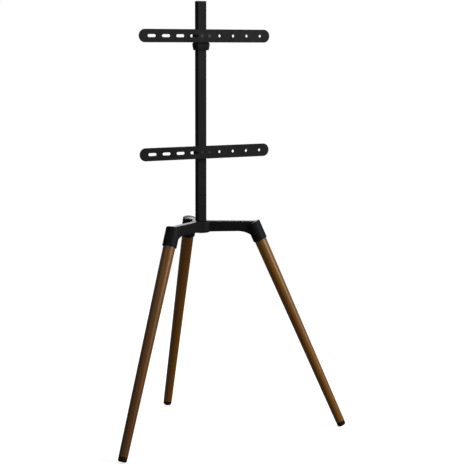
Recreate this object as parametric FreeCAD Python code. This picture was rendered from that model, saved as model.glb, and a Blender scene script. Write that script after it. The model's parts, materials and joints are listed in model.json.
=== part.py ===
"""Floor easel for a flat screen: a cast three-arm hub on turned wooden legs, a rectangular steel post
that swivels in the hub, and two slotted mounting bars on carriages that slide and clamp on the post.

Millimetres, +Z up, the screen side faces -Y. Everything is drawn with the post's axis on X = Y = 0, and
centre_on_footprint() then moves it so that the origin is the middle of the footprint on the floor.
"""

import FreeCAD
import Part

import math
import os

V = FreeCAD.Vector

NEAR = 1e-3                  # coordinates closer than this are the same
CUT_OVERRUN = 5.0            # how far a cutter reaches past the face it opens

# Overall layout
POST_TOP_Z = 1407.0          # top of the post's end cap
UPPER_BAR_Z = 1296.0         # centre line of the upper bar
LOWER_BAR_Z = 922.0          # centre line of the lower bar
HUB_TOP_Z = 694.0            # flat top of the hub's arms, under the post
HUB_CENTRE_BOTTOM_Z = 655.0  # underside of the hub's middle boss
FRONT_FOOT_RADIUS = 476.6    # post axis to where a front leg's axis meets the floor
REAR_FOOT_RADIUS = 261.5
FRONT_LEG_TILT = 23.87        # degrees from vertical
REAR_LEG_TILT = 14.71
FRONT_ARM_SWEEP = 32.0       # degrees that a front arm turns forward of the bars' direction
MOUTH_Z = 632.0              # centre of each leg socket's mouth

# Legs, feet and the studs that hold the legs
LEG_TOP_RADIUS = 19.9
LEG_FOOT_RADIUS = 14.6
SOCKET_CLEARANCE = 0.3       # radial, leg in socket
SOCKET_WALL = 3.3
SOCKET_DEPTH = 40.0
SOCKET_LENGTH = 63.0         # mouth to the closed end, along the leg
LEG_EDGE_ROUND = 1.5
STUD_RADIUS = 5.0
STUD_IN_LEG = 45.0
STUD_IN_HUB = 12.0
STUD_CLEARANCE = 0.05
STUD_HOLE_SPARE = 1.0        # the hub's stud holes are this much deeper than the studs
FOOT_HEIGHT = 15.0
FOOT_STEP = 0.4              # how much smaller the rubber foot is than the leg
FOOT_ROUND = 6.0
FOOT_SCREW_RADIUS = 2.25
FOOT_SCREW_LENGTH = 35.0
FOOT_SCREW_TIP = 4.0
FOOT_SCREW_POINT_RADIUS = 0.4
FOOT_SCREW_HEAD_RADIUS = 4.5
FOOT_SCREW_HEAD_HEIGHT = 3.0
FOOT_RECESS_DEPTH = 6.0

# Hub
ARM_WIDTH = 31.0
ARM_ROUND = 7.0
ARM_BOTTOM_Z = 660.5         # underside of an arm where it starts to turn down to its socket
ARM_ROOT_BOTTOM_Z = 657.5    # underside of an arm at the post's axis
ARM_ELBOW_REACH = 40.0       # how far inboard of the socket the arm's underside starts to turn down
ARM_ELBOW_DROP = 10.5        # how far it turns down before it meets the socket
ARM_RISE_LENGTH = 18.0       # the arm's top rises over this length to meet the socket's slanted end
ARM_RISE = 1.8
HUB_BOSS_RADIUS = 31.0
HUB_BOSS_ROUND = 6.0
SOCKET_END_ROUND = 1.5

# Swivel
SPINDLE_RADIUS = 7.0
SPINDLE_THREAD_RADIUS = 6.0
SPINDLE_END_INSET = 0.6      # the thread stops this far inside the hub's recess
RUNNING_CLEARANCE = 0.05
BUSH_WALL = 3.0
BUSH_LENGTH = 10.0
BUSH_FLANGE_RADIUS = 17.0
BUSH_FLANGE_THICKNESS = 1.5
HUB_RECESS_RADIUS = 19.0
HUB_RECESS_DEPTH = 11.0
WASHER_RADIUS = 15.0
WASHER_THICKNESS = 1.5
NUT_ACROSS_FLATS = 19.0
NUT_HEIGHT = 6.5
NUT_FACE_INSET = 0.4         # from the flats in to the edge of the nut's lower face
NUT_CHAMFER = 30.0           # degrees
SWIVEL_GAP = 0.1             # between faces that turn on each other

# Post
POST_WIDTH = 32.0            # along X
POST_DEPTH = 22.0            # along Y
POST_WALL = 1.5
POST_CORNER = 2.5
PLUG_HEIGHT = 42.0
PLUG_CLEARANCE = 0.1
PLUG_SCREW_RADIUS = 2.5
PLUG_SCREW_HEAD_RADIUS = 4.6
PLUG_SCREW_HEAD_HEIGHT = 2.6
PLUG_SCREW_HEAD_ROUND = 1.4
PLUG_SCREW_DRIVE_DEPTH = 1.6
PLUG_HOLE_STOP = 6.0         # from the post's front face to the end of a blind cross hole
PLUG_SCREW_STOP = 6.5        # from the post's front face to the tip of a cross screw
DRIVE_ACROSS_FLATS = 3.0
PLUG_SCREW_INSET = 11.0      # from the plug's two ends to its cross screws
CAP_LIP = 3.0
CAP_SKIRT = 15.0
CAP_SKIRT_WALL = 2.0
CAP_EDGE = 1.0

# Mounting bars
BAR_LENGTH = 472.0
BAR_HEIGHT = 42.0
BAR_THICKNESS = 3.0
BAR_EDGE = 0.5
BAR_STANDOFF = 34.0          # post axis to the bar's back face
HOLE_PITCH = 50.0            # the holes sit at 50, 100, 150 and 200 from the middle
HOLES_PER_SIDE = 4
HOLE_RADIUS = 4.5
SLOT_LENGTH = 29.0
SLOT_OFFSET = 8.5            # slots are moved this far inboard of the hole pitch
BAR_SCREW_X = 13.0
BAR_SCREW_RADIUS = 2.5
BAR_SCREW_HEAD_RADIUS = 4.8
BAR_SCREW_HEAD_DEPTH = 2.3
BAR_SCREW_LENGTH = 14.0
BAR_SCREW_DRIVE_DEPTH = 1.8

# Carriages: the upper one has a tapered skirt below the bar, the lower one hides behind its bar
UPPER_CARRIAGE_SIDE_WALL = 5.75
UPPER_CARRIAGE_BACK_WALL = 2.45
UPPER_CARRIAGE_FRONT_WALL = 7.25
UPPER_CARRIAGE_TOP = 17.0    # above the bar's centre line
UPPER_CARRIAGE_SKIRT = 46.0  # below the bar's centre line
SKIRT_TAPER = 2.5
SKIRT_TAPER_HEIGHT = 14.0
SKIRT_CORNER = 2.0           # upright corners at the skirt's lower end
UPPER_CARRIAGE_CORNER = 3.0
GROOVE_DEPTH = 1.6
GROOVE_HEIGHT = 3.0
SKIRT_EDGE = 2.0
LOWER_CARRIAGE_SIDE_WALL = 2.4
LOWER_CARRIAGE_BACK_WALL = 2.2
LOWER_CARRIAGE_HALF_HEIGHT = 17.5
BAR_PAD_WIDTH = 41.0         # the pad between the upper carriage and its bar
CARRIAGE_EDGE = 1.5
LINER_WALL = 1.5
LINER_CLEARANCE = 0.1        # liner in its carriage
SLIDE_CLEARANCE = 0.15       # post in a liner

# Clamps
PAD_RADIUS = 6.0
PAD_THICKNESS = 2.0
PAD_GAP = 0.05               # tightened pad to post, and clamp screw to pad
PAD_CLEARANCE = 0.3
PAD_TRAVEL = 2.0
POCKET_SPARE = 0.4           # behind a pad that is drawn back all the way
CLAMP_SCREW_RADIUS = 3.0
CLAMP_BOSS_RADIUS = 9.0
CLAMP_BOSS_LENGTH = 5.0      # thread length behind the pad's pocket
KNOB_RADIUS = 11.0
KNOB_THICKNESS = 7.5
KNOB_FACE = 2.0              # knob left behind its screw's end
KNOB_ROUND = 1.2
KNOB_GAP = 0.6               # tightened knob to boss
KNOB_LOBES = 6
KNOB_SCALLOP_RADIUS = 3.0
KNOB_SCALLOP_REACH = 1.6
UPPER_CLAMP_DROP = 31.0      # clamp axis below the upper bar's centre line
LOWER_CLAMP_DROP = 0.0

# What follows from the values above
LEG_BORE_RADIUS = LEG_TOP_RADIUS + SOCKET_CLEARANCE
SOCKET_RADIUS = LEG_BORE_RADIUS + SOCKET_WALL
FOOT_RADIUS = LEG_FOOT_RADIUS - FOOT_STEP
LINER_GROWTH = SLIDE_CLEARANCE + LINER_WALL + LINER_CLEARANCE   # post face to a carriage's bore
UPPER_CARRIAGE_WIDTH = POST_WIDTH + 2 * (LINER_GROWTH + UPPER_CARRIAGE_SIDE_WALL)
UPPER_CARRIAGE_BACK = POST_DEPTH / 2 + LINER_GROWTH + UPPER_CARRIAGE_BACK_WALL
UPPER_CARRIAGE_FRONT = POST_DEPTH / 2 + LINER_GROWTH + UPPER_CARRIAGE_FRONT_WALL
LOWER_CARRIAGE_WIDTH = POST_WIDTH + 2 * (LINER_GROWTH + LOWER_CARRIAGE_SIDE_WALL)
LOWER_CARRIAGE_BACK = POST_DEPTH / 2 + LINER_GROWTH + LOWER_CARRIAGE_BACK_WALL
BUSH_BORE = SPINDLE_RADIUS + RUNNING_CLEARANCE
BUSH_RADIUS = BUSH_BORE + BUSH_WALL
POST_BOTTOM_Z = HUB_TOP_Z + BUSH_FLANGE_THICKNESS + SWIVEL_GAP
RECESS_ROOF_Z = HUB_CENTRE_BOTTOM_Z + HUB_RECESS_DEPTH
POCKET_BACK = POST_DEPTH / 2 + PAD_GAP + PAD_THICKNESS + PAD_TRAVEL + POCKET_SPARE
CLAMP_BOSS_BACK = POCKET_BACK + CLAMP_BOSS_LENGTH

LEGS = {
    "left": (180 + FRONT_ARM_SWEEP, FRONT_LEG_TILT, FRONT_FOOT_RADIUS),
    "right": (-FRONT_ARM_SWEEP, FRONT_LEG_TILT, FRONT_FOOT_RADIUS),
    "rear": (90.0, REAR_LEG_TILT, REAR_FOOT_RADIUS),
}


def box(width, depth, height, x, y, z):
    """A box centred on x and y that stands on z."""
    return Part.makeBox(width, depth, height, V(x - width / 2, y - depth / 2, z))


def cylinder(radius, height, base=V(0, 0, 0), axis=V(0, 0, 1)):
    return Part.makeCylinder(radius, height, base, axis)


def upright_edges(shape):
    """The straight edges that run along Z."""
    found = []
    for edge in shape.Edges:
        along = edge.Vertexes[-1].Point - edge.Vertexes[0].Point
        if abs(along.z) > NEAR and abs(along.x) + abs(along.y) < NEAR:
            found.append(edge)
    return found


def rounded_column(width, depth, height, radius, z, y=0.0):
    """A box with its four upright edges rounded."""
    column = box(width, depth, height, 0, y, z)
    return column.makeFillet(radius, upright_edges(column))


def rounded_outline(width, depth, radius, z, y):
    """The outline of a rounded column's foot."""
    column = rounded_column(width, depth, depth, radius, z, y)
    return min(column.Faces, key=lambda f: f.CenterOfMass.z).OuterWire


def foot_lift(tilt):
    """Height of the foot's end face centre when the rounded edge of the tilted foot touches the floor."""
    t = math.radians(tilt)
    return (FOOT_RADIUS - FOOT_ROUND) * math.sin(t) + FOOT_ROUND * (1 - math.cos(t))


def leg_frame(name):
    """The placement that turns local +Z along a leg, from the middle of its foot's end face, and the
    distance along it to the socket's mouth."""
    azimuth, tilt, foot_radius = LEGS[name]
    a, t = math.radians(azimuth), math.radians(tilt)
    lift = foot_lift(tilt)
    reach = foot_radius - lift * math.tan(t)
    outward = V(math.cos(a), math.sin(a), 0)
    along = outward * -math.sin(t) + V(0, 0, math.cos(t))
    side = along.cross(outward)
    side.normalize()
    placement = FreeCAD.Placement(outward * reach + V(0, 0, lift),
                                  FreeCAD.Rotation(side.cross(along), side, along, "ZXY"))
    return placement, (MOUTH_Z - lift) / math.cos(t)


def placed(shape, placement):
    moved = shape.copy()
    moved.Placement = placement.multiply(moved.Placement)
    return moved


def leg(name):
    """A turned leg: a cone below the socket and a parallel tenon in it, bored for its stud and foot screw."""
    placement, mouth = leg_frame(name)
    top = mouth + SOCKET_DEPTH
    outline = [V(0, 0, FOOT_HEIGHT), V(LEG_FOOT_RADIUS, 0, FOOT_HEIGHT), V(LEG_TOP_RADIUS, 0, mouth),
               V(LEG_TOP_RADIUS, 0, top), V(0, 0, top), V(0, 0, FOOT_HEIGHT)]
    body = Part.Face(Part.makePolygon(outline)).revolve(V(0, 0, 0), V(0, 0, 1), 360)
    ends = [e for e in body.Edges if e.Closed and abs(e.BoundBox.ZLength) < NEAR
            and (abs(e.BoundBox.ZMin - FOOT_HEIGHT) < NEAR or abs(e.BoundBox.ZMin - top) < NEAR)]
    body = body.makeFillet(LEG_EDGE_ROUND, ends)
    body = body.cut(cylinder(STUD_RADIUS + STUD_CLEARANCE, STUD_IN_LEG, V(0, 0, top - STUD_IN_LEG)))
    pilot = FOOT_SCREW_LENGTH - (FOOT_HEIGHT - FOOT_RECESS_DEPTH)
    body = body.cut(cylinder(FOOT_SCREW_RADIUS + STUD_CLEARANCE, pilot, V(0, 0, FOOT_HEIGHT)))
    return placed(body, placement)


def leg_stud(name):
    """The steel stud between a leg's top and the roof of its socket."""
    placement, mouth = leg_frame(name)
    start = mouth + SOCKET_DEPTH - STUD_IN_LEG
    return placed(cylinder(STUD_RADIUS, STUD_IN_LEG + STUD_IN_HUB, V(0, 0, start)), placement)


def foot(name):
    """A rubber foot: a short plug with a rounded edge and a recess for its screw."""
    placement, _ = leg_frame(name)
    body = cylinder(FOOT_RADIUS, FOOT_HEIGHT)
    rim = [e for e in body.Edges if e.Closed and e.BoundBox.ZMax < NEAR]
    body = body.makeFillet(FOOT_ROUND, rim)
    body = body.cut(cylinder(FOOT_SCREW_HEAD_RADIUS + PAD_CLEARANCE, FOOT_RECESS_DEPTH))
    body = body.cut(cylinder(FOOT_SCREW_RADIUS + STUD_CLEARANCE, FOOT_HEIGHT))
    return placed(body, placement)


def foot_screw(name):
    placement, _ = leg_frame(name)
    head = cylinder(FOOT_SCREW_HEAD_RADIUS, FOOT_SCREW_HEAD_HEIGHT,
                    V(0, 0, FOOT_RECESS_DEPTH - FOOT_SCREW_HEAD_HEIGHT))
    straight = FOOT_SCREW_LENGTH - FOOT_SCREW_TIP
    shank = cylinder(FOOT_SCREW_RADIUS, straight, V(0, 0, FOOT_RECESS_DEPTH))
    tip = Part.makeCone(FOOT_SCREW_RADIUS, FOOT_SCREW_POINT_RADIUS, FOOT_SCREW_TIP,
                        V(0, 0, FOOT_RECESS_DEPTH + straight))
    return placed(head.fuse(shank).fuse(tip).removeSplitter(), placement)


def axis_radius(name, z):
    """Distance from the post's axis to a leg's axis at a height."""
    _, tilt, foot_radius = LEGS[name]
    return foot_radius - z * math.tan(math.radians(tilt))


def level_arc(start, end):
    """An arc that leaves start level, in the plane of radius and height, and passes through end."""
    run, climb = end.x - start.x, end.z - start.z
    radius = (run ** 2 + climb ** 2) / (2 * climb)
    half_turn = math.asin(run / abs(radius)) / 2
    middle = V(start.x + abs(radius) * math.sin(half_turn), 0,
               start.z + radius * (1 - math.cos(half_turn)))
    return Part.Arc(start, middle, end)


def arm(name):
    """One hub arm, drawn as a side view in radius and height and given its width."""
    azimuth, tilt, _ = LEGS[name]
    t = math.radians(tilt)
    end_z = MOUTH_Z + SOCKET_LENGTH * math.cos(t)
    join_z = HUB_TOP_Z + ARM_RISE
    join = axis_radius(name, end_z) + (join_z - end_z) / math.tan(t)
    low_z = ARM_BOTTOM_Z - ARM_ELBOW_DROP
    low = axis_radius(name, low_z)
    elbow_end = V(low - SOCKET_RADIUS / math.cos(t), 0, low_z)
    elbow = V(elbow_end.x - ARM_ELBOW_REACH, 0, ARM_BOTTOM_Z)
    rise = V(join - ARM_RISE_LENGTH, 0, HUB_TOP_Z)
    rise_end = V(join, 0, join_z)
    corners = [elbow_end, V(low, 0, low_z), rise_end]
    lines = [Part.LineSegment(a, b) for a, b in zip(corners, corners[1:])]
    lines += [
        Part.LineSegment(V(0, 0, ARM_ROOT_BOTTOM_Z), elbow),
        level_arc(elbow, elbow_end),
        level_arc(rise, rise_end),
        Part.LineSegment(rise, V(0, 0, HUB_TOP_Z)),
        Part.LineSegment(V(0, 0, HUB_TOP_Z), V(0, 0, ARM_ROOT_BOTTOM_Z)),
    ]
    side_view = Part.Face(Part.Wire(Part.sortEdges([line.toShape() for line in lines])[0]))
    side_view.translate(V(0, -ARM_WIDTH / 2, 0))
    beam = side_view.extrude(V(0, ARM_WIDTH, 0))
    long_edges = [e for e in beam.Edges if e.BoundBox.YLength < NEAR
                  and e.BoundBox.XMax > NEAR and e.BoundBox.XMin < rise_end.x - NEAR
                  and not (e.BoundBox.XMin > elbow_end.x - NEAR and e.BoundBox.ZMin < low_z + NEAR)]
    beam = beam.makeFillet(ARM_ROUND, long_edges)
    beam.rotate(V(0, 0, 0), V(0, 0, 1), azimuth)
    return beam


def socket(name):
    """The tube at an arm's end that takes a leg, closed square to the leg at its top."""
    placement, mouth = leg_frame(name)
    tube = cylinder(SOCKET_RADIUS, SOCKET_LENGTH, V(0, 0, mouth))
    end = [e for e in tube.Edges if e.Closed and e.BoundBox.ZMin > mouth + SOCKET_LENGTH - NEAR]
    return placed(tube.makeFillet(SOCKET_END_ROUND, end), placement)


def hub():
    boss = cylinder(HUB_BOSS_RADIUS, HUB_TOP_Z - HUB_CENTRE_BOTTOM_Z, V(0, 0, HUB_CENTRE_BOTTOM_Z))
    rims = [e for e in boss.Edges if e.Closed]
    boss = boss.makeFillet(HUB_BOSS_ROUND, rims)
    body = boss.multiFuse([arm(n) for n in LEGS] + [socket(n) for n in LEGS])
    for name in LEGS:
        placement, mouth = leg_frame(name)
        bore = cylinder(LEG_BORE_RADIUS, SOCKET_DEPTH + CUT_OVERRUN,
                        V(0, 0, mouth - CUT_OVERRUN + SOCKET_CLEARANCE))
        stud_hole = cylinder(STUD_RADIUS + STUD_CLEARANCE, STUD_IN_HUB + STUD_HOLE_SPARE,
                             V(0, 0, mouth + SOCKET_DEPTH))
        body = body.cut(placed(bore.fuse(stud_hole), placement))
    below = V(0, 0, HUB_CENTRE_BOTTOM_Z - CUT_OVERRUN)
    body = body.cut(cylinder(BUSH_RADIUS, HUB_TOP_Z, below))
    return body.cut(cylinder(HUB_RECESS_RADIUS, HUB_RECESS_DEPTH + CUT_OVERRUN, below))


def bush(z, upward):
    """A flanged plastic bush whose flange lies on the hub's top (upward) or on the recess's roof."""
    sense = -1 if upward else 1
    flange_z = z if upward else z - BUSH_FLANGE_THICKNESS
    flange = cylinder(BUSH_FLANGE_RADIUS, BUSH_FLANGE_THICKNESS, V(0, 0, flange_z))
    sleeve = cylinder(BUSH_RADIUS, BUSH_LENGTH, V(0, 0, z), V(0, 0, sense))
    body = flange.fuse(sleeve)
    body = body.cut(cylinder(BUSH_BORE, 4 * BUSH_LENGTH, V(0, 0, z - 2 * BUSH_LENGTH)))
    return body.removeSplitter()


def spindle():
    """The steel plug in the post's foot, turned down below to the pin that swivels in the hub."""
    room = POST_WALL + PLUG_CLEARANCE
    block = rounded_column(POST_WIDTH - 2 * room, POST_DEPTH - 2 * room, PLUG_HEIGHT,
                           POST_CORNER - POST_WALL, POST_BOTTOM_Z)
    shoulder_z = RECESS_ROOF_Z - BUSH_FLANGE_THICKNESS
    pin = cylinder(SPINDLE_RADIUS, POST_BOTTOM_Z - shoulder_z, V(0, 0, shoulder_z))
    thread_low = HUB_CENTRE_BOTTOM_Z + SPINDLE_END_INSET
    thread = cylinder(SPINDLE_THREAD_RADIUS, shoulder_z - thread_low, V(0, 0, thread_low))
    body = block.fuse(pin).fuse(thread)
    for z in plug_screw_heights():
        body = body.cut(cylinder(PLUG_SCREW_RADIUS + STUD_CLEARANCE, POST_DEPTH,
                                 V(0, PLUG_HOLE_STOP - POST_DEPTH / 2, z), V(0, 1, 0)))
    return body.removeSplitter()


def plug_screw_heights():
    return (POST_BOTTOM_Z + PLUG_SCREW_INSET, POST_BOTTOM_Z + PLUG_HEIGHT - PLUG_SCREW_INSET)


def plug_screws():
    """Two cross screws from behind that hold the spindle in the post."""
    screws = []
    for z in plug_screw_heights():
        head = cylinder(PLUG_SCREW_HEAD_RADIUS, PLUG_SCREW_HEAD_HEIGHT, V(0, POST_DEPTH / 2, z), V(0, 1, 0))
        face_y = POST_DEPTH / 2 + PLUG_SCREW_HEAD_HEIGHT
        rim = [e for e in head.Edges if e.Closed and e.BoundBox.YMin > face_y - NEAR]
        head = head.makeFillet(PLUG_SCREW_HEAD_ROUND, rim)
        shank = cylinder(PLUG_SCREW_RADIUS, POST_DEPTH - PLUG_SCREW_STOP,
                         V(0, PLUG_SCREW_STOP - POST_DEPTH / 2, z), V(0, 1, 0))
        drive = hex_prism(DRIVE_ACROSS_FLATS, PLUG_SCREW_DRIVE_DEPTH,
                          V(0, face_y - PLUG_SCREW_DRIVE_DEPTH, z), V(0, 1, 0))
        screws.append(head.fuse(shank).cut(drive).removeSplitter())
    return Part.makeCompound(screws)


def hex_prism(across_flats, height, base, axis):
    """A hexagonal prism on base, along axis."""
    radius = across_flats / math.sqrt(3)
    corners = [V(radius * math.cos(math.radians(60 * k)), radius * math.sin(math.radians(60 * k)), 0)
               for k in range(7)]
    prism = Part.Face(Part.makePolygon(corners)).extrude(V(0, 0, height))
    turn = FreeCAD.Rotation(V(0, 0, 1), axis)
    return placed(prism, FreeCAD.Placement(base, turn))


def swivel_washer():
    z = RECESS_ROOF_Z - BUSH_FLANGE_THICKNESS - SWIVEL_GAP - WASHER_THICKNESS
    ring = cylinder(WASHER_RADIUS, WASHER_THICKNESS, V(0, 0, z))
    return ring.cut(cylinder(SPINDLE_THREAD_RADIUS + RUNNING_CLEARANCE, WASHER_THICKNESS, V(0, 0, z)))


def swivel_nut():
    """A plain nut, chamfered on its lower face."""
    top = RECESS_ROOF_Z - BUSH_FLANGE_THICKNESS - SWIVEL_GAP - WASHER_THICKNESS
    base = V(0, 0, top - NUT_HEIGHT)
    face_radius = NUT_ACROSS_FLATS / 2 - NUT_FACE_INSET
    rise = (NUT_ACROSS_FLATS - face_radius) * math.tan(math.radians(NUT_CHAMFER))
    cone = Part.makeCone(face_radius, NUT_ACROSS_FLATS, rise, base)
    above = cylinder(NUT_ACROSS_FLATS, NUT_HEIGHT, base + V(0, 0, rise))
    nut = hex_prism(NUT_ACROSS_FLATS, NUT_HEIGHT, base, V(0, 0, 1)).common(cone.fuse(above))
    return nut.cut(cylinder(SPINDLE_THREAD_RADIUS + STUD_CLEARANCE, NUT_HEIGHT, base))


def post_tube():
    height = POST_TOP_Z - CAP_LIP - POST_BOTTOM_Z
    outer = rounded_column(POST_WIDTH, POST_DEPTH, height, POST_CORNER, POST_BOTTOM_Z)
    inner = rounded_column(POST_WIDTH - 2 * POST_WALL, POST_DEPTH - 2 * POST_WALL, height,
                           POST_CORNER - POST_WALL, POST_BOTTOM_Z)
    tube = outer.cut(inner)
    for z in plug_screw_heights():
        tube = tube.cut(cylinder(PLUG_SCREW_RADIUS + STUD_CLEARANCE, POST_DEPTH, V(0, 0, z), V(0, 1, 0)))
    return tube


def post_cap():
    """A moulded cap: a lip over the tube's end and a skirt inside it."""
    lip_z = POST_TOP_Z - CAP_LIP
    lip = rounded_column(POST_WIDTH, POST_DEPTH, CAP_LIP, POST_CORNER, lip_z)
    top = [e for e in lip.Edges if e.BoundBox.ZMin > POST_TOP_Z - NEAR]
    lip = lip.makeFillet(CAP_EDGE, top)
    room = POST_WALL + PLUG_CLEARANCE
    width, depth = POST_WIDTH - 2 * room, POST_DEPTH - 2 * room
    skirt = rounded_column(width, depth, CAP_SKIRT, POST_CORNER - POST_WALL, lip_z - CAP_SKIRT)
    hollow = rounded_column(width - 2 * CAP_SKIRT_WALL, depth - 2 * CAP_SKIRT_WALL, CAP_SKIRT,
                            POST_CORNER - POST_WALL, lip_z - CAP_SKIRT)
    return lip.fuse(skirt.cut(hollow)).removeSplitter()


def bar(z):
    """A flat bar with round ends: slots on the left, round holes on the right."""
    straight = BAR_LENGTH - BAR_HEIGHT
    front = -BAR_STANDOFF - BAR_THICKNESS
    plate = Part.makeBox(straight, BAR_THICKNESS, BAR_HEIGHT, V(-straight / 2, front, z - BAR_HEIGHT / 2))
    for side in (-1, 1):
        end = cylinder(BAR_HEIGHT / 2, BAR_THICKNESS, V(side * straight / 2, front, z), V(0, 1, 0))
        plate = plate.fuse(end)
    plate = plate.removeSplitter()
    rims = [e for e in plate.Edges if e.BoundBox.YLength < NEAR]
    plate = plate.makeChamfer(BAR_EDGE, rims)
    for k in range(1, HOLES_PER_SIDE + 1):
        plate = plate.cut(cylinder(HOLE_RADIUS, BAR_THICKNESS, V(k * HOLE_PITCH, front, z), V(0, 1, 0)))
        plate = plate.cut(slot(-k * HOLE_PITCH + SLOT_OFFSET, front, z))
    for x in (-BAR_SCREW_X, BAR_SCREW_X):
        plate = plate.cut(screw_blank(x, z, STUD_CLEARANCE))
    return plate


def slot(x, front, z):
    half = SLOT_LENGTH / 2 - HOLE_RADIUS
    cutter = Part.makeBox(2 * half, BAR_THICKNESS, 2 * HOLE_RADIUS, V(x - half, front, z - HOLE_RADIUS))
    for side in (-1, 1):
        cutter = cutter.fuse(cylinder(HOLE_RADIUS, BAR_THICKNESS, V(x + side * half, front, z), V(0, 1, 0)))
    return cutter


def screw_blank(x, z, grow):
    """The envelope of a countersunk bar screw, grown by a clearance."""
    front = -BAR_STANDOFF - BAR_THICKNESS
    head = Part.makeCone(BAR_SCREW_HEAD_RADIUS + grow, BAR_SCREW_RADIUS + grow, BAR_SCREW_HEAD_DEPTH,
                         V(x, front, z), V(0, 1, 0))
    shank = cylinder(BAR_SCREW_RADIUS + grow, BAR_SCREW_LENGTH + grow, V(x, front, z), V(0, 1, 0))
    return head.fuse(shank)


def bar_screws(z):
    front = -BAR_STANDOFF - BAR_THICKNESS
    screws = []
    for x in (-BAR_SCREW_X, BAR_SCREW_X):
        drive = hex_prism(DRIVE_ACROSS_FLATS, BAR_SCREW_DRIVE_DEPTH, V(x, front, z), V(0, 1, 0))
        screws.append(screw_blank(x, z, 0.0).cut(drive).removeSplitter())
    return Part.makeCompound(screws)


def clamp_boss(body, z):
    """Adds the boss for a clamp screw behind a carriage, and cuts the pad's pocket and the screw's hole."""
    boss_start = POST_DEPTH / 2 + LINER_GROWTH
    boss = cylinder(CLAMP_BOSS_RADIUS, CLAMP_BOSS_BACK - boss_start, V(0, boss_start, z), V(0, 1, 0))
    pocket = cylinder(PAD_RADIUS + PAD_CLEARANCE, POCKET_BACK, V(0, 0, z), V(0, 1, 0))
    hole = cylinder(CLAMP_SCREW_RADIUS + RUNNING_CLEARANCE, CLAMP_BOSS_BACK, V(0, 0, z), V(0, 1, 0))
    return body.fuse(boss).cut(liner_bore()).cut(pocket).cut(hole)


def liner_bore():
    """The rectangular hole in a carriage that holds its liner, as long as the post is tall."""
    return rounded_column(POST_WIDTH + 2 * LINER_GROWTH, POST_DEPTH + 2 * LINER_GROWTH, POST_TOP_Z,
                          POST_CORNER + LINER_GROWTH, 0)


def upper_carriage():
    """The upper slider: a pad behind the bar, and a skirt below it that tapers in to the post."""
    z = UPPER_BAR_Z
    depth = UPPER_CARRIAGE_BACK + UPPER_CARRIAGE_FRONT
    y = (UPPER_CARRIAGE_BACK - UPPER_CARRIAGE_FRONT) / 2
    low_z = z - UPPER_CARRIAGE_SKIRT
    groove_z = z - BAR_HEIGHT / 2 - GROOVE_HEIGHT / 2
    wide_z = low_z + SKIRT_TAPER_HEIGHT
    upper = rounded_column(UPPER_CARRIAGE_WIDTH, depth, z + UPPER_CARRIAGE_TOP - wide_z,
                           UPPER_CARRIAGE_CORNER, wide_z, y)
    narrow = rounded_outline(UPPER_CARRIAGE_WIDTH - 2 * SKIRT_TAPER, depth - 2 * SKIRT_TAPER,
                             SKIRT_CORNER, low_z, y)
    wide = rounded_outline(UPPER_CARRIAGE_WIDTH, depth, UPPER_CARRIAGE_CORNER, wide_z, y)
    taper = Part.makeLoft([narrow, wide], True)
    rim = [e for e in taper.Edges if e.BoundBox.ZMax < low_z + NEAR]
    taper = taper.makeFillet(SKIRT_EDGE, rim)
    ring = rounded_column(UPPER_CARRIAGE_WIDTH + 2 * GROOVE_DEPTH, depth + 2 * GROOVE_DEPTH,
                          GROOVE_HEIGHT, UPPER_CARRIAGE_CORNER, groove_z, y)
    ring = ring.cut(rounded_column(UPPER_CARRIAGE_WIDTH - 2 * GROOVE_DEPTH, depth - 2 * GROOVE_DEPTH,
                                   GROOVE_HEIGHT, UPPER_CARRIAGE_CORNER, groove_z, y))
    front_pad = box(BAR_PAD_WIDTH, BAR_STANDOFF, 2 * UPPER_CARRIAGE_TOP, 0, -BAR_STANDOFF / 2,
                    z - UPPER_CARRIAGE_TOP)
    front_pad = front_pad.makeFillet(CARRIAGE_EDGE, upright_edges(front_pad))
    body = upper.fuse(taper).cut(ring).fuse(front_pad).removeSplitter()
    body = clamp_boss(body, z - UPPER_CLAMP_DROP)
    for x in (-BAR_SCREW_X, BAR_SCREW_X):
        body = body.cut(screw_blank(x, z, STUD_CLEARANCE))
    return body


def lower_carriage():
    """The lower slider: a plain block, no taller than its bar."""
    z = LOWER_BAR_Z
    depth = BAR_STANDOFF + LOWER_CARRIAGE_BACK
    y = (LOWER_CARRIAGE_BACK - BAR_STANDOFF) / 2
    body = rounded_column(LOWER_CARRIAGE_WIDTH, depth, 2 * LOWER_CARRIAGE_HALF_HEIGHT, CARRIAGE_EDGE,
                          z - LOWER_CARRIAGE_HALF_HEIGHT, y)
    body = clamp_boss(body, z - LOWER_CLAMP_DROP)
    for x in (-BAR_SCREW_X, BAR_SCREW_X):
        body = body.cut(screw_blank(x, z, STUD_CLEARANCE))
    return body


def liner(low_z, high_z, clamp_z):
    """A plastic sleeve between a carriage and the post, open where the clamp pad goes through."""
    grow = 2 * (SLIDE_CLEARANCE + LINER_WALL)
    outer = rounded_column(POST_WIDTH + grow, POST_DEPTH + grow, high_z - low_z,
                           POST_CORNER + grow / 2, low_z)
    inner = rounded_column(POST_WIDTH + 2 * SLIDE_CLEARANCE, POST_DEPTH + 2 * SLIDE_CLEARANCE, high_z - low_z,
                           POST_CORNER, low_z)
    window = cylinder(PAD_RADIUS + PAD_CLEARANCE, POST_DEPTH, V(0, 0, clamp_z), V(0, 1, 0))
    return outer.cut(inner).cut(window)


def clamp_pad(z):
    return cylinder(PAD_RADIUS, PAD_THICKNESS, V(0, POST_DEPTH / 2 + PAD_GAP, z), V(0, 1, 0))


def clamp_screw(z):
    start = POST_DEPTH / 2 + 2 * PAD_GAP + PAD_THICKNESS
    length = CLAMP_BOSS_BACK + KNOB_GAP + KNOB_THICKNESS - KNOB_FACE - start
    return cylinder(CLAMP_SCREW_RADIUS, length, V(0, start, z), V(0, 1, 0))


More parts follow.
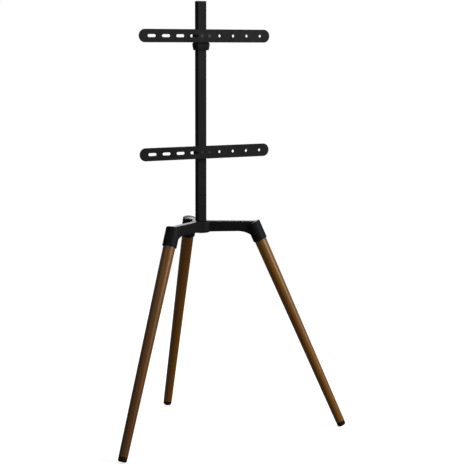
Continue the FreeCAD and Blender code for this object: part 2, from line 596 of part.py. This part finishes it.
def clamp_knob(z):
    """A lobed knob with rounded rims and a bore for its screw."""
    start = CLAMP_BOSS_BACK + KNOB_GAP
    body = cylinder(KNOB_RADIUS, KNOB_THICKNESS, V(0, start, z), V(0, 1, 0))
    rims = [e for e in body.Edges if e.Closed and e.BoundBox.YLength < NEAR]
    body = body.makeFillet(KNOB_ROUND, rims)
    reach = KNOB_RADIUS + KNOB_SCALLOP_REACH
    for k in range(KNOB_LOBES):
        angle = 2 * math.pi * (k + 0.5) / KNOB_LOBES
        base = V(reach * math.cos(angle), start, z + reach * math.sin(angle))
        body = body.cut(cylinder(KNOB_SCALLOP_RADIUS, KNOB_THICKNESS, base, V(0, 1, 0)))
    return body.cut(cylinder(CLAMP_SCREW_RADIUS, KNOB_THICKNESS - KNOB_FACE, V(0, start, z), V(0, 1, 0)))


def build():
    """Every sub-part by its node name."""
    upper_clamp = UPPER_BAR_Z - UPPER_CLAMP_DROP
    lower_clamp = LOWER_BAR_Z - LOWER_CLAMP_DROP
    parts = {
        "hub": hub(),
        "leg_studs": Part.makeCompound([leg_stud(n) for n in LEGS]),
        "foot_screws": Part.makeCompound([foot_screw(n) for n in LEGS]),
        "swivel_bush_upper": bush(HUB_TOP_Z, True),
        "swivel_bush_lower": bush(RECESS_ROOF_Z, False),
        "swivel_spindle": spindle(),
        "spindle_screws": plug_screws(),
        "swivel_washer": swivel_washer(),
        "swivel_nut": swivel_nut(),
        "post_tube": post_tube(),
        "post_cap": post_cap(),
        "upper_carriage": upper_carriage(),
        "upper_liner": liner(UPPER_BAR_Z - UPPER_CARRIAGE_SKIRT,
                             UPPER_BAR_Z + UPPER_CARRIAGE_TOP, upper_clamp),
        "lower_carriage": lower_carriage(),
        "lower_liner": liner(LOWER_BAR_Z - LOWER_CARRIAGE_HALF_HEIGHT,
                             LOWER_BAR_Z + LOWER_CARRIAGE_HALF_HEIGHT, lower_clamp),
    }
    for name in LEGS:
        parts["leg_" + name] = leg(name)
        parts["foot_" + name] = foot(name)
    for level, bar_z, clamp_z in (("upper", UPPER_BAR_Z, upper_clamp), ("lower", LOWER_BAR_Z, lower_clamp)):
        parts[level + "_bar"] = bar(bar_z)
        parts[level + "_bar_screws"] = bar_screws(bar_z)
        parts[level + "_clamp_pad"] = clamp_pad(clamp_z)
        parts[level + "_clamp_screw"] = clamp_screw(clamp_z)
        parts[level + "_clamp_knob"] = clamp_knob(clamp_z)
    return parts


def centre_on_footprint(parts):
    """Moves everything along Y so that the origin is the middle of the overall box."""
    low = min(p.BoundBox.YMin for p in parts.values())
    high = max(p.BoundBox.YMax for p in parts.values())
    for part in parts.values():
        part.translate(V(0, -(low + high) / 2, 0))
    print("post axis at y =", round(-(low + high) / 2, 4))


def main():
    os.makedirs("parts", exist_ok=True)
    parts = build()
    centre_on_footprint(parts)
    for name, part in parts.items():
        if not part.isValid() or part.Volume <= 0:
            raise ValueError(name + " is not a valid solid")
        part.exportStep("parts/" + name + ".step")
    print(len(parts), "parts")


main()
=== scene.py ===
import json
import math

import bpy
import numpy as np
from mathutils import Matrix, Vector


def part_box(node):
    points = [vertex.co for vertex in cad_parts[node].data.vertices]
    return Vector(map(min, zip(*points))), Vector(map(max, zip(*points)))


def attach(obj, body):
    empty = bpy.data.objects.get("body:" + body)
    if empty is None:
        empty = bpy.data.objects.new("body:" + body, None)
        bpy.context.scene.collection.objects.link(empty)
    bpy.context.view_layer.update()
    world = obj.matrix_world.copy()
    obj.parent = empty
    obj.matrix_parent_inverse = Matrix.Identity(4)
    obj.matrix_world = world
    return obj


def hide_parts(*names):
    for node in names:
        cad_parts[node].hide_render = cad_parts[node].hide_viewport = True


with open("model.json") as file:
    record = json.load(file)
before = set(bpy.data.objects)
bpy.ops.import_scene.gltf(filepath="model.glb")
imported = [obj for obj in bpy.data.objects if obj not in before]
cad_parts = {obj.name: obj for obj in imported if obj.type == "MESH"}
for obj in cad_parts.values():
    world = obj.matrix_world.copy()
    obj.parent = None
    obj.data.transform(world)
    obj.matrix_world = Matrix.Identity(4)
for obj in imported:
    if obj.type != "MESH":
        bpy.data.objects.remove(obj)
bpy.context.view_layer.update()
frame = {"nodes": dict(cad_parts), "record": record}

# Camera, in metres and degrees, placed from the foot of the post's axis
CAMERA_AZIMUTH = 28.8        # round to the left of the front
CAMERA_PITCH = 8.44          # below the horizon
CAMERA_ROLL = 0.15
CAMERA_DISTANCE = 4.170      # level distance back from the axis
CAMERA_SIDE = 0.103          # how far to the right of the axis it stands
CAMERA_HEIGHT = 1.274
CAMERA_LENS = 98.9           # millimetres
CAMERA_SENSOR = 36.0         # millimetres
CAMERA_REACH = 50.0          # nothing further away is shown

# Colours, linear
WHITE = (1.0, 1.0, 1.0, 1.0)
WALNUT_DARK = (0.092, 0.028, 0.0015, 1.0)
WALNUT_MID = (0.195, 0.077, 0.0025, 1.0)
WALNUT_LIGHT = (0.240, 0.102, 0.0040, 1.0)
PORE = (0.040, 0.013, 0.002, 1.0)
COAT_BLACK = (0.0058, 0.0058, 0.0060, 1.0)
COAT_BLACK_WORN = (0.0100, 0.0100, 0.0103, 1.0)
RUBBER_BLACK = (0.0050, 0.0050, 0.0052, 1.0)
RUBBER_DUSTY = (0.0170, 0.0160, 0.0150, 1.0)
ZINC_LIGHT = (0.62, 0.63, 0.65, 1.0)
ZINC_DARK = (0.40, 0.41, 0.43, 1.0)
OXIDE_LIGHT = (0.032, 0.032, 0.034, 1.0)
OXIDE_DARK = (0.012, 0.012, 0.013, 1.0)

# Painted shade on each leg, laid on its walnut as a tint: the colour's share left at its foot and at its
# top. The left leg is darker towards its foot, and the rear leg towards its top.
LEG_PAINTED_SHADE = {
    "leg_left": ((0.52, 0.44, 0.70, 1.0), (0.92, 0.92, 1.0, 1.0)),
    "leg_right": ((0.95, 0.96, 1.0, 1.0), (1.0, 1.0, 1.0, 1.0)),
    "leg_rear": ((0.98, 0.90, 0.85, 1.0), (0.86, 0.76, 0.72, 1.0)),
}
PAINTED_SHADE_WANDER = 0.06          # metres that the painted shade's edge moves up and down the leg

# Finishes. A scale is in lumps a metre, and a depth in metres.
POST_PEEL_SCALE = 620.0
POST_PEEL_DEPTH = 0.00010
CAST_PEEL_SCALE = 380.0
CAST_PEEL_DEPTH = 0.00022
GRIT_PER_PEEL = 5.0          # grit lumps to one lump of orange peel
GRIT_DEPTH_SHARE = 0.25      # of the orange peel's depth
DUST_REACH = 0.6             # share of a rubber foot's height that dust reaches
ZINC_ROUGHNESS = 0.34
OXIDE_ROUGHNESS = 0.42

# Studio: a pale floor, a white surround and three soft boxes
FLOOR_RADIUS = 14.0
FLOOR_SIDES = 128
FLOOR_PALE = (0.55, 0.55, 0.55, 1.0)
FLOOR_LIFT = 0.72            # light that the floor gives of itself
FLOOR_FADE = (0.9, 3.0)      # between these distances from the origin it turns into plain white
SURROUND_LIGHT = 0.16        # how bright the white surround is for the object that it lights
# name, azimuth, distance, height, size, radiance, height aimed at
SOFT_BOXES = (
    ("key", 38.0, 3.0, 1.8, (0.9, 1.6), 22.0, 0.6),
    ("back", 160.0, 3.2, 1.9, (1.1, 1.5), 16.0, 0.8),
    ("fill", -60.0, 3.0, 2.9, (1.2, 1.2), 3.0, 0.7),
)

# Hub casting
CAST_VOXEL = 0.0013
CAST_FILLET = 0.0045         # radius that its inner corners are filled to
CAST_SMOOTH_SHARE = 0.5      # how far one pass moves a point towards its neighbours' middle
CAST_SMOOTH_PASSES = 8


class Shader:
    """A material's node tree with a Principled shader, and short ways to add what feeds it."""

    def __init__(self, name, specular, metallic=0.0):
        self.material = bpy.data.materials.new(name)
        self.material.use_nodes = True
        self.tree = self.material.node_tree
        self.principled = self.tree.nodes["Principled BSDF"]
        self.coordinates = self.tree.nodes.new("ShaderNodeTexCoord").outputs["Object"]
        self.feed("Specular IOR Level", specular)
        self.feed("Metallic", metallic)

    def give(self, socket, value):
        """Links the value to the socket if it is another node's output, and otherwise sets it."""
        if isinstance(value, bpy.types.NodeSocket):
            self.tree.links.new(value, socket)
        else:
            socket.default_value = value

    def feed(self, socket_name, value):
        self.give(self.principled.inputs[socket_name], value)

    def node(self, kind, inputs=(), **settings):
        made = self.tree.nodes.new(kind)
        for key, value in settings.items():
            setattr(made, key, value)
        for key, value in dict(inputs).items():
            self.give(made.inputs[key], value)
        return made

    def placed(self, matrix=None, scale=(1.0, 1.0, 1.0)):
        """Object coordinates turned by a matrix, then scaled."""
        source = self.coordinates
        if matrix is not None:
            turn = {"Vector": source, "Rotation": matrix.to_euler()}
            source = self.node("ShaderNodeMapping", turn).outputs["Vector"]
        scaled = {"Vector": source, "Scale": scale}
        return self.node("ShaderNodeMapping", scaled).outputs["Vector"]

    def noise(self, vector, scale=1.0, detail=3.0, roughness=0.55, distortion=0.0):
        inputs = {"Vector": vector, "Scale": scale, "Detail": detail, "Roughness": roughness,
                  "Distortion": distortion}
        return self.node("ShaderNodeTexNoise", inputs).outputs["Fac"]

    def span(self, value, low, high, to_low=0.0, to_high=1.0):
        """Maps low..high to to_low..to_high, and holds it there outside."""
        inputs = {"Value": value, "From Min": low, "From Max": high, "To Min": to_low, "To Max": to_high}
        return self.node("ShaderNodeMapRange", inputs).outputs["Result"]

    def maths(self, operation, first, second):
        return self.node("ShaderNodeMath", {0: first, 1: second}, operation=operation).outputs["Value"]

    def height_of(self, vector):
        return self.node("ShaderNodeSeparateXYZ", {"Vector": vector}).outputs["Z"]

    def mix(self, factor, first, second, blend="MIX"):
        made = self.node("ShaderNodeMix", data_type="RGBA", blend_type=blend)
        # a colour mix keeps its colour sockets after those of its other data types
        first_colour, second_colour = [s for s in made.inputs if s.type == "RGBA"]
        self.give(made.inputs["Factor"], factor)
        self.give(first_colour, first)
        self.give(second_colour, second)
        return next(s for s in made.outputs if s.type == "RGBA")

    def bump(self, height, strength, distance, under=None):
        inputs = {"Height": height, "Strength": strength, "Distance": distance}
        if under is not None:
            inputs["Normal"] = under
        return self.node("ShaderNodeBump", inputs).outputs["Normal"]


def powder_coat(name, peel_scale, peel_depth):
    """Satin black powder coat: orange peel, fine grit, and faint handling marks in its sheen."""
    s = Shader(name, specular=0.08)
    peel = s.noise(s.coordinates, scale=peel_scale, detail=2.0)
    grit = s.noise(s.coordinates, scale=peel_scale * GRIT_PER_PEEL, detail=2.0)
    cloud = s.noise(s.coordinates, scale=9.0, detail=5.0, roughness=0.65)
    smear = s.noise(s.placed(scale=(14.0, 14.0, 3.0)), detail=6.0, roughness=0.7, distortion=1.2)
    colour = s.mix(s.span(cloud, low=0.35, high=0.7), COAT_BLACK, COAT_BLACK_WORN)
    specks = s.span(grit, low=0.62, high=0.8, to_high=0.5)
    s.feed("Base Color", s.mix(specks, colour, COAT_BLACK_WORN))
    s.feed("Roughness", s.span(smear, low=0.3, high=0.75, to_low=0.52, to_high=0.66))
    peel_bump = s.bump(peel, strength=0.6, distance=peel_depth)
    grit_depth = peel_depth * GRIT_DEPTH_SHARE
    s.feed("Normal", s.bump(grit, strength=0.35, distance=grit_depth, under=peel_bump))
    return s.material


def moulded_plastic(name):
    """Black moulded plastic with a spark-eroded grain."""
    s = Shader(name, specular=0.25)
    grain = s.node("ShaderNodeTexVoronoi", {"Vector": s.coordinates, "Scale": 1500.0}).outputs["Distance"]
    cloud = s.noise(s.coordinates, scale=60.0)
    s.feed("Base Color", s.mix(s.span(cloud, low=0.3, high=0.7), COAT_BLACK, COAT_BLACK_WORN))
    s.feed("Roughness", s.span(cloud, low=0.3, high=0.7, to_low=0.45, to_high=0.6))
    s.feed("Normal", s.bump(grain, strength=0.5, distance=0.00005))
    return s.material


def nylon(name):
    """Smooth black nylon with faint flow marks."""
    s = Shader(name, specular=0.3)
    flow = s.noise(s.placed(scale=(30.0, 30.0, 160.0)), distortion=0.8)
    s.feed("Base Color", s.mix(s.span(flow, low=0.3, high=0.7), COAT_BLACK, OXIDE_DARK))
    s.feed("Roughness", s.span(flow, low=0.3, high=0.7, to_low=0.3, to_high=0.42))
    s.feed("Normal", s.bump(flow, strength=0.3, distance=0.00004))
    return s.material


def rubber(name, height):
    """Matt rubber, dusty where it meets the floor."""
    s = Shader(name, specular=0.15)
    skin = s.noise(s.coordinates, scale=1800.0)
    patch = s.noise(s.coordinates, scale=120.0, detail=4.0, roughness=0.7)
    dusty_height = height * DUST_REACH
    near_floor = s.span(s.height_of(s.coordinates), low=0.0, high=dusty_height, to_low=1.0, to_high=0.0)
    dust = s.maths("MULTIPLY", near_floor, s.span(patch, low=0.35, high=0.75))
    s.feed("Base Color", s.mix(dust, RUBBER_BLACK, RUBBER_DUSTY))
    s.feed("Roughness", s.span(patch, low=0.3, high=0.7, to_low=0.72, to_high=0.9))
    s.feed("Normal", s.bump(skin, strength=0.5, distance=0.00006))
    return s.material


def plated_steel(name, light, dark, roughness):
    """Turned and plated steel: fine tool lines and a slightly mottled plating."""
    s = Shader(name, specular=0.5, metallic=1.0)
    lines = s.noise(s.placed(scale=(80.0, 80.0, 2600.0)), detail=2.0)
    mottle = s.noise(s.coordinates, scale=220.0, detail=4.0, roughness=0.65)
    s.feed("Base Color", s.mix(s.span(mottle, low=0.3, high=0.7), dark, light))
    s.feed("Roughness", s.span(lines, low=0.3, high=0.7, to_low=roughness - 0.08, to_high=roughness + 0.1))
    s.feed("Normal", s.bump(lines, strength=0.3, distance=0.00003))
    return s.material


def walnut(name, foot, top, painted_shade):
    """Lacquered walnut whose grain runs along a leg: growth rings, streaks and short dark pores, darkened
    towards one end by painted shade.
    """
    s = Shader(name, specular=0.32)
    along = (top - foot).normalized()
    turn = along.rotation_difference(Vector((0.0, 0.0, 1.0))).to_matrix()
    from_foot = s.node("ShaderNodeVectorMath", {0: s.coordinates, 1: foot}, operation="SUBTRACT")
    s.coordinates = from_foot.outputs["Vector"]

    rings = s.node("ShaderNodeTexWave",
                   {"Vector": s.placed(turn, scale=(1.0, 1.0, 0.05)), "Scale": 26.0, "Distortion": 5.5,
                    "Detail": 3.0, "Detail Scale": 1.4, "Detail Roughness": 0.6},
                   wave_type="BANDS", bands_direction="X", wave_profile="SAW").outputs["Fac"]
    streaks = s.noise(s.placed(turn, scale=(260.0, 260.0, 4.5)), detail=6.0, roughness=0.66, distortion=0.5)
    figure = s.noise(s.placed(turn, scale=(16.0, 16.0, 3.0)), distortion=0.7)
    pores = s.span(s.noise(s.placed(turn, scale=(1500.0, 1500.0, 60.0)), detail=1.0), low=0.62, high=0.72)

    colour = s.mix(s.span(figure, low=0.32, high=0.68), WALNUT_MID, WALNUT_LIGHT)
    colour = s.mix(s.span(rings, low=0.1, high=1.0, to_high=0.35), colour, WALNUT_DARK)
    colour = s.mix(s.span(streaks, low=0.42, high=0.78, to_high=0.6), colour, WALNUT_DARK)
    colour = s.mix(s.span(pores, low=0.0, high=1.0, to_high=0.7), colour, PORE)
    # Painted shade: the colour is multiplied by a tint that runs from the leg's foot to its top, and the
    # tint's edge wanders with the figure.
    wander = s.span(figure, low=0.3, high=0.7, to_low=-PAINTED_SHADE_WANDER, to_high=PAINTED_SHADE_WANDER)
    height = s.maths("ADD", s.height_of(s.placed(turn)), wander)
    painted_shade_here = s.mix(s.span(height, low=0.0, high=(top - foot).length), *painted_shade)

    s.feed("Base Color", s.mix(1.0, colour, painted_shade_here, blend="MULTIPLY"))
    s.feed("Roughness", s.span(streaks, low=0.3, high=0.75, to_low=0.33, to_high=0.46))
    streak_bump = s.bump(streaks, strength=0.25, distance=0.00012)
    sunk = s.span(pores, low=0.0, high=1.0, to_low=1.0, to_high=0.0)
    s.feed("Normal", s.bump(sunk, strength=0.35, distance=0.00008, under=streak_bump))
    return s.material


def dress(node, material):
    """Gives every material slot of a CAD node the same material."""
    for slot in frame["nodes"][node].material_slots:
        slot.material = material


def leg_line(node):
    """The middles of a leg's two ends, lowest first."""
    points = np.array([v.co[:] for v in frame["nodes"][node].data.vertices])
    centre = points.mean(axis=0)
    along = np.linalg.svd(points - centre, full_matrices=False)[2][0]
    along = along if along[2] > 0 else -along
    reach = (points - centre) @ along
    return Vector(centre + along * reach.min()), Vector(centre + along * reach.max())


def cast_hub(material):
    """The hub as it comes out of its mould. It is grown and shrunk again, which fills its inner corners,
    and then smoothed, which softens the outer ones."""
    rough = bpy.data.objects.new("hub_rough", frame["nodes"]["hub"].data.copy())
    bpy.context.collection.objects.link(rough)
    for step, offset in (("grown", CAST_FILLET), ("shrunk", -CAST_FILLET)):
        remesh = rough.modifiers.new(step + "_remesh", "REMESH")
        remesh.mode = "VOXEL"
        remesh.voxel_size = CAST_VOXEL
        shift = rough.modifiers.new(step, "DISPLACE")
        shift.mid_level = 0.0
        shift.strength = offset
    smooth = rough.modifiers.new("smooth", "SMOOTH")
    smooth.factor = CAST_SMOOTH_SHARE
    smooth.iterations = CAST_SMOOTH_PASSES
    cast_mesh = bpy.data.meshes.new_from_object(rough.evaluated_get(bpy.context.evaluated_depsgraph_get()))
    bpy.data.objects.remove(rough)
    cast_mesh.materials.clear()
    cast_mesh.materials.append(material)
    cast_mesh.polygons.foreach_set("use_smooth", [True] * len(cast_mesh.polygons))
    casting = bpy.data.objects.new("hub_casting", cast_mesh)
    bpy.context.collection.objects.link(casting)
    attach(casting, "base")
    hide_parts("hub")


def dress_everything():
    """Gives every CAD node its material by the record's slot, and makes the hub's casting."""
    cast_coat = powder_coat("cast_powder_coat", CAST_PEEL_SCALE, CAST_PEEL_DEPTH)
    foot_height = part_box("foot_left")[1][2]
    by_slot = {
        "powder_black": powder_coat("post_powder_coat", POST_PEEL_SCALE, POST_PEEL_DEPTH),
        "cast_black": cast_coat,
        "moulded_black": moulded_plastic("moulded_plastic"),
        "nylon_black": nylon("nylon"),
        "zinc_steel": plated_steel("zinc_plated_steel", ZINC_LIGHT, ZINC_DARK, ZINC_ROUGHNESS),
        "black_steel": plated_steel("black_oxide_steel", OXIDE_LIGHT, OXIDE_DARK, OXIDE_ROUGHNESS),
        "rubber_black": rubber("foot_rubber", foot_height),
    }
    for part in frame["record"]["subparts"]:
        node = part["node"]
        if part["material_slot"] == "walnut":
            foot, top = leg_line(node)
            # each leg's walnut carries that leg's painted shade
            dress(node, walnut(node + "_walnut", foot, top, LEG_PAINTED_SHADE[node]))
        else:
            dress(node, by_slot[part["material_slot"]])
    cast_hub(cast_coat)


def post_foot():
    """The point on the floor under the post's axis."""
    low, high = (Vector(corner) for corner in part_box("post_tube"))
    middle = (low + high) / 2
    return Vector((middle.x, middle.y, 0.0))


def make_camera():
    azimuth, pitch, roll = (math.radians(a) for a in (CAMERA_AZIMUTH, CAMERA_PITCH, CAMERA_ROLL))
    ahead = Vector((math.sin(azimuth), math.cos(azimuth), 0.0))
    right = Vector((math.cos(azimuth), -math.sin(azimuth), 0.0))
    up = Vector((0.0, 0.0, 1.0))
    look = ahead * math.cos(pitch) - up * math.sin(pitch)
    top = up * math.cos(pitch) + ahead * math.sin(pitch)
    x_axis = right * math.cos(roll) + top * math.sin(roll)
    y_axis = top * math.cos(roll) - right * math.sin(roll)
    turn = Matrix((x_axis, y_axis, -look)).transposed()
    data = bpy.data.cameras.new("camera")
    data.sensor_width = CAMERA_SENSOR
    data.lens = CAMERA_LENS
    data.clip_end = CAMERA_REACH
    camera = bpy.data.objects.new("camera", data)
    bpy.context.collection.objects.link(camera)
    camera.location = post_foot() - ahead * CAMERA_DISTANCE + right * CAMERA_SIDE + up * CAMERA_HEIGHT
    camera.rotation_euler = turn.to_euler()
    bpy.context.scene.camera = camera


def area_light(name, azimuth, distance, height, size, radiance, aim_height):
    """A soft box round the origin: azimuth 0 is in front, at -Y, and 90 is to the right, at +X."""
    turn = math.radians(azimuth)
    place = Vector((math.sin(turn) * distance, -math.cos(turn) * distance, height))
    data = bpy.data.lights.new(name, "AREA")
    data.shape = "RECTANGLE"
    data.size, data.size_y = size
    # a flat light's power is its radiance times pi times its area
    data.energy = radiance * math.pi * size[0] * size[1]
    light = bpy.data.objects.new(name, data)
    light.location = place
    toward = Vector((0.0, 0.0, aim_height)) - place
    light.rotation_euler = toward.to_track_quat("-Z", "Y").to_euler()
    bpy.context.collection.objects.link(light)


def make_floor():
    """A pale floor that catches faint contact shadows, and turns into plain white away from the object.
    It neither lights the object nor shows in it."""
    bpy.ops.mesh.primitive_circle_add(vertices=FLOOR_SIDES, radius=FLOOR_RADIUS, fill_type="NGON")
    floor = bpy.context.object
    floor.name = "floor"
    material = bpy.data.materials.new("floor_white")
    material.use_nodes = True
    tree = material.node_tree
    tree.nodes.clear()
    output = tree.nodes.new("ShaderNodeOutputMaterial")
    diffuse = tree.nodes.new("ShaderNodeBsdfDiffuse")
    diffuse.inputs["Color"].default_value = FLOOR_PALE
    lift = tree.nodes.new("ShaderNodeEmission")
    lift.inputs["Color"].default_value = WHITE
    lift.inputs["Strength"].default_value = FLOOR_LIFT
    near = tree.nodes.new("ShaderNodeAddShader")
    far = tree.nodes.new("ShaderNodeEmission")
    far.inputs["Color"].default_value = WHITE
    place = tree.nodes.new("ShaderNodeTexCoord")
    reach = tree.nodes.new("ShaderNodeVectorMath")
    reach.operation = "LENGTH"
    fade = tree.nodes.new("ShaderNodeMapRange")
    fade.interpolation_type = "SMOOTHSTEP"
    fade.inputs["From Min"].default_value, fade.inputs["From Max"].default_value = FLOOR_FADE
    blend = tree.nodes.new("ShaderNodeMixShader")
    tree.links.new(place.outputs["Object"], reach.inputs[0])
    tree.links.new(reach.outputs["Value"], fade.inputs["Value"])
    tree.links.new(fade.outputs["Result"], blend.inputs["Fac"])
    tree.links.new(diffuse.outputs[0], near.inputs[0])
    tree.links.new(lift.outputs[0], near.inputs[1])
    tree.links.new(near.outputs[0], blend.inputs[1])
    tree.links.new(far.outputs[0], blend.inputs[2])
    tree.links.new(blend.outputs[0], output.inputs["Surface"])
    floor.data.materials.append(material)
    floor.visible_diffuse = False
    floor.visible_glossy = False


def make_surround():
    """A white backdrop that lights the object less than it shows, as a backdrop behind soft boxes does."""
    world = bpy.data.worlds.new("white_surround")
    world.use_nodes = True
    tree = world.node_tree
    background = tree.nodes["Background"]
    background.inputs["Color"].default_value = WHITE
    path = tree.nodes.new("ShaderNodeLightPath")
    level = tree.nodes.new("ShaderNodeMapRange")
    level.inputs["To Min"].default_value = SURROUND_LIGHT
    level.inputs["To Max"].default_value = 1.0
    tree.links.new(path.outputs["Is Camera Ray"], level.inputs["Value"])
    tree.links.new(level.outputs["Result"], background.inputs["Strength"])
    bpy.context.scene.world = world


def make_lights():
    for soft_box in SOFT_BOXES:
        area_light(*soft_box)


# White stays white, and colours come out as they are set.
bpy.context.scene.view_settings.view_transform = "Standard"
dress_everything()
make_camera()
make_floor()
make_surround()
make_lights()
